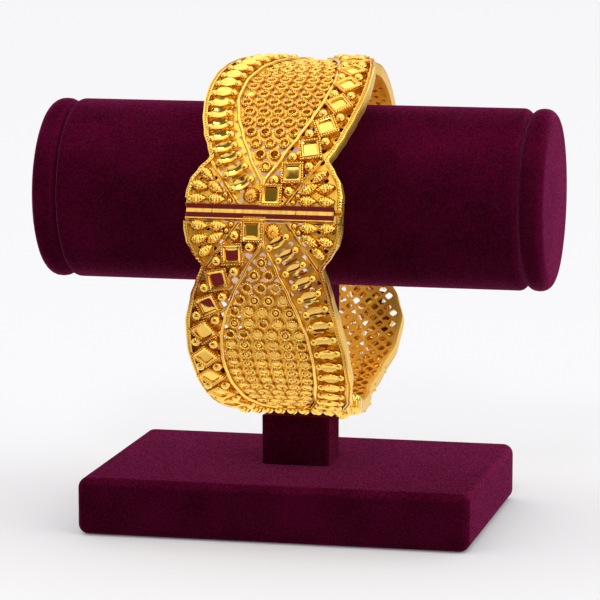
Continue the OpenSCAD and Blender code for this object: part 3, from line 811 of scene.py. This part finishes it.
def pitted_strip(panel, side, pitch):
    """A bright crowned strip along an edge, drilled with a row of fine pits."""
    inset, half, top, low = 0.40, 0.36, WALL_R + 0.06, WALL_R - 0.45
    start, end = rim_span(panel, side)
    count = round((end - start) / pitch)
    step = (end - start) / count
    points, faces, known = [], [], {}

    def spot(key, d, x, r):
        if key not in known:
            known[key] = len(points)
            points.append(ring_point(panel.angle(d), x * panel.side, r))
        return known[key]

    def across(d, u):
        return side * (panel.edge(d, side) - inset + u)

    def row(i):
        d = start + i * step
        names = (("a", -half, top - 0.10), ("b", 0.0, top), ("c", half, top - 0.08), ("e", half, low),
                 ("f", -half, low))
        return [spot((i, n), d, across(d, u), r) for n, u, r in names]

    for i in range(count):
        a0, b0, c0, e0, f0 = row(i)
        a1, b1, c1, e1, f1 = row(i + 1)
        d = start + (i + 0.5) * step
        am = spot((i, "am"), d, across(d, -half), top - 0.10)
        cm = spot((i, "cm"), d, across(d, half), top - 0.08)
        outer = [b0, c0, cm, c1, b1, a1, am, a0]
        rings = []
        for n, size, r in (("p", 0.21, top - 0.03), ("q", 0.19, top - 0.36)):
            rings.append([spot((i, n, k), d - size * math.cos(math.pi / 4 * k),
                               across(d, size * math.sin(math.pi / 4 * k) - 0.05), r) for k in range(8)])
        for lip, hole in ((outer, rings[0]), (rings[0], rings[1])):
            faces += [(lip[k], lip[(k + 1) % 8], hole[(k + 1) % 8], hole[k]) for k in range(8)]
        faces += [tuple(rings[1]), (c0, e0, e1, c1, cm), (a1, f1, f0, a0, am), (f0, f1, e1, e0)]
    faces += [tuple(row(0)[::-1]), tuple(row(count))]
    return np.array(points), faces


def panel_rims(panel, bead):
    """A pitted strip along the top of each side wall, with a fine rail inside it."""
    shapes = []
    for side in (-1, 1):
        shapes.append(pitted_strip(panel, side, bead))
        shapes.append(sweep(panel, steps(*rim_span(panel, side), 0.8), lambda d, s=side: [
            (s * (panel.edge(d, s) - 0.80) + x, WALL_R + 0.02 + r) for x, r in circle(6, 0.10)]))
    return merged(*shapes)


def panel_wires(panel, thick):
    """Round wires for the leaf's outline and the stub at its tip, and reeded ones that bound the fans."""
    s = panel.stretch
    last = 47.0 if panel.name == "upper" else 49.3
    arc = [math.radians(a) for a in range(-50, 231, 35)]
    round_head, stub_head = ([(r * math.cos(a), 32.05 + r * math.sin(a)) for a in arc]
                             for r in (thick / 2, thick * 0.6 / 2))
    reeds = [(-0.62, 0.0), (-0.62, 0.55), (-0.36, 0.72), (-0.30, 0.55), (-0.16, 0.92), (0.16, 0.92), (0.30, 0.55),
             (0.36, 0.72), (0.62, 0.55), (0.62, 0.0)]
    reeded_head = [(-a * thick * 0.75, 31.95 + b * thick / 2) for a, b in reeds]
    shapes = [standing_wire(panel, 5.0 * s, last * s, lambda d, k=side: k * panel.leaf(d, k), round_head)
              for side in (-1, 1)]
    shapes += [standing_wire(panel, 2.0, 10.0, lambda d, k=side: k * fan_line(d), reeded_head) for side in (-1, 1)]
    shapes.append(standing_wire(panel, 2.0, 5.4 * s, lambda d: -0.15, stub_head))
    return merged(*shapes)


def net_places(panel):
    """Collets row by row: distance, place across, number along the row and collets in the row."""
    s = panel.stretch
    for i in range(NET_ROWS):
        d = (NET_START + NET_PITCH * i) * s
        low, high = -panel.leaf(d, -1) + 0.4, panel.leaf(d, 1) - 0.4
        room = high - low - 2.3
        if room < -0.35:
            continue
        count = max(1, round(room / 2.5) + 1)
        pitch = min(2.6, room / (count - 1)) if count > 1 else 0
        for k in range(count):
            yield d, (low + high) / 2 + (k - (count - 1) / 2) * pitch, k, count


def panel_net(panel, collet):
    """Collets, the discs and domes in them, and the hollow cups."""
    tubes, fills, cups = [], [], []
    tube, kinds = unit_collet(collet), {"cup": unit_cup(), "dome": unit_dome(), "disc": unit_disc()}
    rng = random.Random(panel.name)
    for d, x, k, count in net_places(panel):
        turn = rng.uniform(0, 12)
        tubes.append(moved(tube, on_panel(panel, d, x, PLATE_R, turn)))
        kind = "cup"
        if panel.name in ("gate", "back_low"):
            kind = ("disc", "dome", "disc", "disc", "dome", "disc", "dome")[k % 7]
            if count < 6 and rng.random() < 0.55:
                kind = rng.choice(("cup", "disc", "disc", "dome"))
            if rng.random() < 0.12:
                kind = rng.choice(("dome", "cup"))
        elif rng.random() < 0.12:
            kind = "disc"
        tilt = (rng.uniform(-6, 6), rng.uniform(-6, 6))
        (cups if kind == "cup" else fills).append(moved(kinds[kind], on_panel(panel, d, x, PLATE_R, 0, tilt)))
    return merged(*tubes), merged(*fills), merged(*cups)


def panel_squares(panel, width):
    """Framed squares and their mirrors, each mirror tilted a little."""
    tall = Matrix.Diagonal((1, 1, 1.36, 1))
    frame_shape, mirror_shape = moved(unit_square_frame(width), tall), moved(unit_mirror(), tall)
    frames, mirrors = [], []
    rng = random.Random("squares" + panel.name)
    s = panel.stretch
    for d, x, turn in SQUARES:
        if d * s < panel.end - 1.5:
            place = d * s, min(x, panel.edge(d * s, 1) - 2.6), PLATE_R, turn
            tilt = (rng.uniform(-3, 3), rng.uniform(-3, 3))
            frames.append(moved(frame_shape, on_panel(panel, *place)))
            mirrors.append(moved(mirror_shape, on_panel(panel, *place, tilt)))
    return merged(*frames), merged(*mirrors)


def panel_balls(panel, diameter):
    """Balls in ring seats between the squares and small ones in the fans."""
    ball = merged(unit_ball(diameter, 0.62, 16, 10), unit_ring(0.98, 0.26, -0.08, 16, 5),
                  unit_ring(0.78, 0.24, 0.12, 14, 5))
    small = merged(unit_ball(1.0, 0.34, 12, 8), unit_ring(0.5, 0.22, 0, 12, 4))
    s = panel.stretch
    shapes = [moved(ball, on_panel(panel, d * s, min(x, panel.edge(d * s, 1) - 1.5))) for d, x in BALLS
              if d * s < panel.end - 0.9]
    shapes += [moved(small, on_panel(panel, d, side * x)) for side in (-1, 1) for d, x in FAN_BALLS]
    return merged(*shapes)


def panel_boats(panel):
    """Boats beside the leaf, each as broad as its neighbours leave room for."""
    boat, ends = unit_boat(), unit_boat_ends()
    s, rows = panel.stretch, panel.boat_table
    shapes = []
    for i, (d, x, lean) in enumerate(rows):
        if d * s < panel.end - 1.0:
            near = rows[max(i - 1, 0):i + 2]
            room = (near[-1][0] - near[0][0]) / (len(near) - 1)
            x = min(x, panel.edge(d * s, -1) - 2.75)
            place = on_panel(panel, d * s, -x, PLATE_R, lean * panel.direction * panel.side)
            shapes += [moved(boat, place @ Matrix.Diagonal((1, room * s / 2.6, 1, 1))), moved(ends, place)]
    return merged(*shapes)


def panel_fans(panel):
    """The grains of both fans and the rosette at the leaf's tip."""
    grain = unit_grain()
    shapes = [moved(unit_rosette(), on_panel(panel, 3.5, -1.9))]
    for side in (-1, 1):
        lean = side * panel.side * panel.direction
        shapes += [moved(grain, on_panel(panel, d, side * x, PLATE_R, lean * turn)) for d, x, turn in FAN]
    return merged(*shapes)


def panel_liner(panel):
    """The pierced sheet on the inner side: a lattice of small openings under every ornament."""
    s, sheet = panel.stretch, 0.45
    along, across = 1.15 * s, 1.25
    shift_d, shift_x = panel.nudge[0], panel.nudge[1] * panel.side
    cells = [(NET_START * s + shift_d + j * along, i * across + shift_x)
             for j in range(-12, int(60 / along)) for i in range(-14, 15) if (i + j) % 2]

    def held(d, x):
        d = min(max(d, panel.first), panel.end)
        return d, max(-panel.edge(d, -1) + 0.3, min(panel.edge(d, 1) - 0.3, x))

    points, faces, known = [], [], {}

    def corner(d, x):
        key = (round(d, 4), round(x, 4))
        if key not in known:
            known[key] = len(points)
            points.append(key)
        return known[key]

    ways = ((1, 0), (0.5, 0.5), (0, 1), (-0.5, 0.5), (-1, 0), (-0.5, -0.5), (0, -1), (0.5, -0.5))
    for d, x in cells:
        ring = [held(d + u * along, x + v * across) for u, v in ways]
        if any(max(reach) - min(reach) < 0.05 for reach in zip(*ring)):
            continue
        outer = [corner(*p) for p in ring]
        whole = all(abs(held(d + u, x + v)[0] - d - u) + abs(held(d + u, x + v)[1] - x - v) < 1e-6
                    for u, v in ((0.85, 0), (-0.85, 0), (0, 0.85), (0, -0.85)))
        if not whole:
            faces.append(tuple(outer))
            continue
        inner = []
        size = hole_size(panel, d, x)
        for k, (u, v) in enumerate(ways):
            part = size if k % 2 else size * 0.86
            inner.append(len(points))
            points.append((d + u * along * part, x + v * across * part))
        faces += [(outer[k], outer[(k + 1) % 8], inner[(k + 1) % 8], inner[k]) for k in range(8)]
    mesh = bpy.data.meshes.new("liner")
    mesh.from_pydata([ring_point(panel.angle(d), x * panel.side, UNDER_R + sheet) for d, x in points], [], faces)
    liner = bmesh.new()
    liner.from_mesh(mesh)
    bmesh.ops.dissolve_degenerate(liner, dist=1e-6, edges=liner.edges)
    bmesh.ops.remove_doubles(liner, verts=liner.verts, dist=1e-6)
    bmesh.ops.recalc_face_normals(liner, faces=liner.faces)
    middle = Vector((0, 0, RING_Z * MM))
    inward = [f for f in liner.faces if f.normal.dot((f.calc_center_median() - middle) * Vector((0, 1, 1))) < 0]
    bmesh.ops.reverse_faces(liner, faces=inward)
    bmesh.ops.solidify(liner, geom=liner.faces[:], thickness=sheet * MM)
    liner.to_mesh(mesh)
    liner.free()
    shape = np.array([v.co for v in mesh.vertices]), [tuple(p.vertices) for p in mesh.polygons]
    bpy.data.meshes.remove(mesh)
    return shape


class OBJECT_OT_bangle_panels(bpy.types.Operator):
    """The four ornate panels of the bangle"""
    bl_idname = "object.bangle_panels"
    bl_label = "Bangle panels"

    def execute(self, context):
        sizes = settings_of("sizes")
        for panel in PANELS:
            tubes, fills, cups = panel_net(panel, sizes.collet / MM)
            frames, mirrors = panel_squares(panel, sizes.square / MM)
            for label, shape, finish, angle in (
                    ("_walls", panel_walls(panel), "gold_satin", 35),
                    ("_liner", panel_liner(panel), "gold_liner", 40),
                    ("_rims", panel_rims(panel, sizes.bead / MM), "gold_pitted", 40),
                    ("_wires", panel_wires(panel, sizes.wire / MM), "gold_polished_plain", 60),
                    ("_collets", tubes, "gold_polished", 55),
                    ("_net_fills", fills, "gold_burnished", 45),
                    ("_net_cups", cups, "gold_hollow", 45),
                    ("_square_frames", frames, "gold_polished", 40),
                    ("_square_mirrors", mirrors, "gold_mirror", 25),
                    ("_balls", panel_balls(panel, sizes.ball / MM), "gold_polished", 60),
                    ("_boats", panel_boats(panel), "gold_polished_plain", 40),
                    ("_fans", panel_fans(panel), "gold_polished", 35)):
                nodes = ("gate_panel" if panel.body == "gate" else "bangle_band",) if label == "_walls" else ()
                piece(panel.name + label, shape, gold(finish), panel.body, angle, nodes)
        return {"FINISHED"}


# The joints

def joint_bar(section, x0, x1):
    """A bar along X in the front joint, whose section is (arc from the joint's line, radius) points."""
    points = [ring_point(FRONT_DEG + v / HINGE_R * 180 / math.pi, x, r) for x in (x0, x1) for v, r in section]
    return np.array(points), skin_faces(2, len(section))


def barrel_section():
    """A knuckle of the front joint with one broad flat, tilted to catch the light."""
    cut, tilt = 0.523, math.radians(15)
    points = []
    for v, h in circle(40, 0.83):
        over = max(0.0, v * math.sin(tilt) + h * math.cos(tilt) - cut)
        points.append((v - over * math.sin(tilt), HINGE_R + h - over * math.cos(tilt)))
    return points


def front_leaves():
    """Each leaf of the front joint with its knuckles and their feet, its bevel and its end."""
    for body, node, leaf, bevel, side, spans in (
            ("stand_and_band", "hinge_leaf_band", BAND_LEAF, BAND_BEVEL, 1, ((-13.9, -9.3), (5.9, 12.6))),
            ("gate", "hinge_leaf_gate", GATE_LEAF, GATE_BEVEL, -1, ((-9.2, 5.8),))):
        name = "front_joint_" + body.split("_")[-1]
        parts = [(leaf, -LEAF_LEFT, LEAF_RIGHT)] + [(barrel_section(), x0 + 0.02, x1 - 0.02) for x0, x1 in spans]
        parts += [([(-side * v, r) for v, r in KNUCKLE_FOOT], x0 + 0.05, x1 - 0.05) for x0, x1 in spans]
        shapes = [joint_bar(*part) for part in parts]
        piece(name + "_leaf", merged(*shapes), gold("gold_brushed"), body, 30, (node,))
        shape = joint_bar(bevel, -LEAF_LEFT + 0.15, LEAF_RIGHT - 0.05)
        piece(name + "_bevel", shape, gold("gold_mirror"), body, 20)
        shape = joint_bar([(side * v, r) for v, r in CHEEK], LEAF_RIGHT, LEAF_LEFT)
        piece(name + "_end", shape, gold("gold_satin"), body, 30)


def solder_bar(name, angle, left, right):
    """The smooth bar that covers a soldered joint."""
    bpy.ops.mesh.primitive_cube_add(size=1, location=((right - left) / 2 * MM, 0, 0),
                                    scale=((left + right) * MM, 1.5 * MM, 2.0 * MM))
    bar = bpy.context.object
    bar.name = name + "_solder_bar"
    bar.matrix_world = ring_matrix(angle, 0, SOLDER_BAR_R) @ bar.matrix_world
    soften(bar, 0.25 * MM, 3)
    finish_piece(bar, gold("gold_satin"), "stand_and_band", 40)


def screw_knob():
    """Polished rings and a milled ring round the knob of the screw."""
    profile = [(1.2, 10.22), (1.62, 10.26), (1.80, 10.42), (1.86, 10.66), (1.80, 10.90), (1.64, 11.04),
               (1.64, 11.10, 0.02, 0), (1.76, 11.18, 0.07, 0), (1.80, 11.34, 0.09, 0), (1.76, 11.50, 0.07, 0),
               (1.64, 11.58, 0.02, 0), (1.64, 11.64), (1.80, 11.78), (1.86, 12.02), (1.80, 12.26), (1.60, 12.46),
               (1.45, 12.70), (1.1, 12.84)]
    shape = lathe(profile, 48, lambda k: 1.0 if k % 2 else -1.0)
    return moved(shape, Matrix.Translation(ring_point(SCREW_DEG, 0, SCREW_AXIS_R)) @ LIE_DOWN)


def joint_balls(angle, places, seed):
    """Balls in ring seats along the lower joint."""
    diameter = 1.7
    parts = unit_ball(diameter, 0.0, 12, 8), unit_ring(diameter * 0.46, 0.2, -0.45, 12, 5)
    rng = random.Random(seed)
    return [moved(part, ring_matrix(angle + rng.uniform(-0.4, 0.4), x, JOINT_BALL_R))
            for x in places for part in parts]


class OBJECT_OT_bangle_joints(bpy.types.Operator):
    """Leaves, pins and the screw of the joints, and the bars of the soldered joints"""
    bl_idname = "object.bangle_joints"
    bl_label = "Bangle joints"

    def execute(self, context):
        shiny = gold("gold_polished_plain")
        for node in ("hinge_pin", "screw_leaf_band", "screw_leaf_gate", "screw", "post_pin"):
            dress(node, shiny)
        front_leaves()
        solder_bar("top", TOP_DEG, 8.5, 12.0)
        solder_bar("back", BACK_DEG, 14.0, 14.0)
        piece("screw_knob_rings", screw_knob(), shiny, "screw", 50)
        gate_row = joint_balls(SCREW_DEG + 3.3, (-8.9, -6.6, -4.4, -2.1, 0.2, 2.4, 4.7, 6.9, 9.0), 3)
        band_row = joint_balls(SCREW_DEG - 3.4, (-9.0, -6.8, -4.5, -2.3, 0, 2.2, 4.5, 6.7), 5)
        piece("gate_end_balls", merged(*gate_row), shiny, "gate", 60)
        trim = moved(unit_grain(), ring_matrix(SCREW_DEG - 3.2, 9.0, 32.2))
        piece("band_end_balls", merged(*band_row, trim), shiny, "stand_and_band", 60)
        return {"FINISHED"}


# The stand

def velvet_disc(name, low, high, soft, node):
    """A disc round the roll's axis from low to high, with rims rounded by soft."""
    rim = [math.pi / 2 * k / 6 for k in range(7)]
    inside = ROLL_R - soft
    profile = [(0.4, 0)] + [(inside + soft * math.sin(a), soft - soft * math.cos(a)) for a in rim]
    profile += [(inside + soft * math.cos(a), high - low - soft + soft * math.sin(a)) for a in rim]
    shape = lathe(profile + [(0.4, high - low)], 128)
    lay = Matrix.Translation((low * MM, 0, ROLL_Z * MM)) @ LIE_DOWN
    piece(name, moved(shape, lay), velvet(), "stand_and_band", 40, (node,), "velvet")


class OBJECT_OT_bangle_stand(bpy.types.Operator):
    """The velvet stand: base, post, roll and its end discs"""
    bl_idname = "object.bangle_stand"
    bl_label = "Velvet stand"

    def execute(self, context):
        cloth = velvet()
        bpy.ops.mesh.primitive_cube_add(size=1, location=(BASE_LOW + BASE_HIGH) / 2, scale=BASE_HIGH - BASE_LOW)
        slab = context.object
        slab.name = "velvet_base"
        soften(slab, settings_of("sizes").edge_round, 6)
        finish_piece(slab, cloth, "stand_and_band", 45, ("stand_base",), "velvet")
        for node in ("post_lower", "post_upper"):
            dress(node, cloth)
        near, far = CAP_LOW.x / MM, CAP_HIGH.x / MM
        velvet_disc("velvet_roll", ROLL_LOW.x / MM, ROLL_HIGH.x / MM, 1.4, "roll")
        velvet_disc("velvet_disc_left", -far, -near, 2.1, "cap_left")
        velvet_disc("velvet_disc_right", near, far, 2.1, "cap_right")
        return {"FINISHED"}


class OBJECT_OT_bangle_pad(bpy.types.Operator):
    """The pale foam pad that the bangle hangs on"""
    bl_idname = "object.bangle_pad"
    bl_label = "Foam pad"

    def execute(self, context):
        low, high = PAD_LOW.x / MM, PAD_HIGH.x / MM
        outer, inner, slot_half, count = 22.6, 16.55, 5.65, 96
        notch = math.asin(slot_half / outer)
        angles = [(-math.pi / 2 + notch) + (2 * math.pi - 2 * notch) * k / count for k in range(count + 1)]
        loop = [(inner, low + 0.3), (inner, high - 0.3), (inner + 0.6, high), (outer - 1.4, high),
                (outer - 0.4, high - 0.5), (outer, high - 1.4), (outer, low + 1.4), (outer - 0.4, low + 0.5),
                (outer - 1.4, low), (inner + 0.6, low)]
        points = [(x * MM, r * math.cos(a) * MM, (ROLL_Z + r * math.sin(a)) * MM) for a in angles for r, x in loop]
        shape = np.array(points), skin_faces(count + 1, len(loop))
        pad = piece("foam_pad", shape, foam(), "stand_and_band", 50, ("bangle_pad",), "pad")
        return {"FINISHED"}


# The stage

def lamp(name, kind, place, aim, energy, **settings):
    """A soft lamp at a place, turned towards aim."""
    data = bpy.data.lights.new(name, kind)
    data.energy = energy
    for key, value in settings.items():
        setattr(data, key, value)
    light = bpy.data.objects.new(name, data)
    bpy.context.scene.collection.objects.link(light)
    light.location = place
    light.rotation_euler = (Vector(aim) - Vector(place)).to_track_quat("-Z", "Y").to_euler()


def board(name, low, high, z, material):
    """A flat board between two corners that only mirror images show."""
    bpy.ops.mesh.primitive_plane_add(size=1, location=((low[0] + high[0]) / 2, (low[1] + high[1]) / 2, z))
    card = bpy.context.object
    card.name = name
    card.scale = (high[0] - low[0], high[1] - low[1], 1.0)
    card.data.materials.append(material)
    card.visible_camera = card.visible_diffuse = card.visible_shadow = False


class SCENE_OT_bangle_stage(bpy.types.Operator):
    """Pale floor, soft studio light and the camera"""
    bl_idname = "scene.bangle_stage"
    bl_label = "Stage"

    def execute(self, context):
        bpy.ops.mesh.primitive_plane_add(size=16, location=(0, 2.0, -0.0001))
        floor = context.object
        floor.name = "floor"
        floor.data.materials.append(studio_floor())
        maroon = card_material("maroon_board", (0.15, 0.022, 0.13), 1.0)
        pale = card_material("pale_board", (1.0, 0.97, 0.92), 1.2)
        soft = card_material("soft_board", (1.0, 0.96, 0.9), 1.25)
        warm = card_material("warm_board", (1.0, 0.95, 0.82), 2.6)
        board("card", (-0.20, -0.62), (0.06, -0.085), 0.0006, maroon)
        board("wing_left", (-1.3, -1.3), (-0.23, -0.03), 0.0005, pale)
        board("wing_right", (0.09, -1.3), (1.3, -0.03), 0.0005, pale)
        board("under_card", (-0.036, -0.026), (0.036, 0.026), 0.0113, soft)
        board("hollow_card", (-0.012, -0.010), (0.017, 0.014), 0.0372, warm)
        context.scene.world = bpy.data.worlds.new("studio")
        light_tent(context.scene.world)
        lamp("key", "AREA", (0.05, -0.70, 0.50), (0, 0, 0.045), 0.9, size=0.10)
        lamp("top", "SUN", (-0.06, 0.12, 1.0), (0, 0, 0), 0.95, angle=math.radians(100))
        lamp("right", "SUN", (1.0, -0.25, 0.55), (0, 0, 0), 0.44, angle=math.radians(50))
        camera = bpy.data.objects.new("camera", bpy.data.cameras.new("camera"))
        context.scene.collection.objects.link(camera)
        camera.data.lens = CAMERA_LENS
        camera.data.sensor_width = 36.0
        camera.data.clip_end = 50
        camera.location = CAMERA_PLACE
        turn, pitch, roll = (math.radians(a) for a in CAMERA_DEG)
        aim = Matrix.Rotation(turn, 4, "Z") @ Matrix.Rotation(pitch, 4, "X") @ Matrix.Rotation(roll, 4, "Z")
        camera.rotation_euler = aim.to_euler()
        context.scene.camera = camera
        context.scene.view_settings.view_transform = "Standard"
        return {"FINISHED"}


class VIEW3D_PT_bangle(bpy.types.Panel):
    """Sizes, colours and pieces of the bangle and its stand"""
    bl_label = "Screw Bangle"
    bl_idname = "VIEW3D_PT_bangle"
    bl_space_type = "VIEW_3D"
    bl_region_type = "UI"
    bl_category = "Bangle"

    def draw(self, context):
        for group in ("sizes", "colours"):
            box = self.layout.box()
            settings = settings_of(group)
            for name in settings.__annotations__:
                box.prop(settings, name)
        for step in STEPS:
            self.layout.operator(step.bl_idname)


STEPS = (OBJECT_OT_bangle_stand, OBJECT_OT_bangle_pad, OBJECT_OT_bangle_panels, OBJECT_OT_bangle_joints,
         SCENE_OT_bangle_stage)
CLASSES = (BangleSizes, BangleColours, *STEPS, VIEW3D_PT_bangle)


def register():
    for cls in CLASSES:
        bpy.utils.register_class(cls)
    bpy.types.Scene.bangle_sizes = PointerProperty(type=BangleSizes)
    bpy.types.Scene.bangle_colours = PointerProperty(type=BangleColours)


def unregister():
    del bpy.types.Scene.bangle_sizes
    del bpy.types.Scene.bangle_colours
    for cls in reversed(CLASSES):
        bpy.utils.unregister_class(cls)


def main():
    register()
    deselect()
    bpy.ops.object.bangle_stand()
    bpy.ops.object.bangle_pad()
    bpy.ops.object.bangle_panels()
    bpy.ops.object.bangle_joints()
    bpy.ops.scene.bangle_stage()


if __name__ == "__main__":
    main()
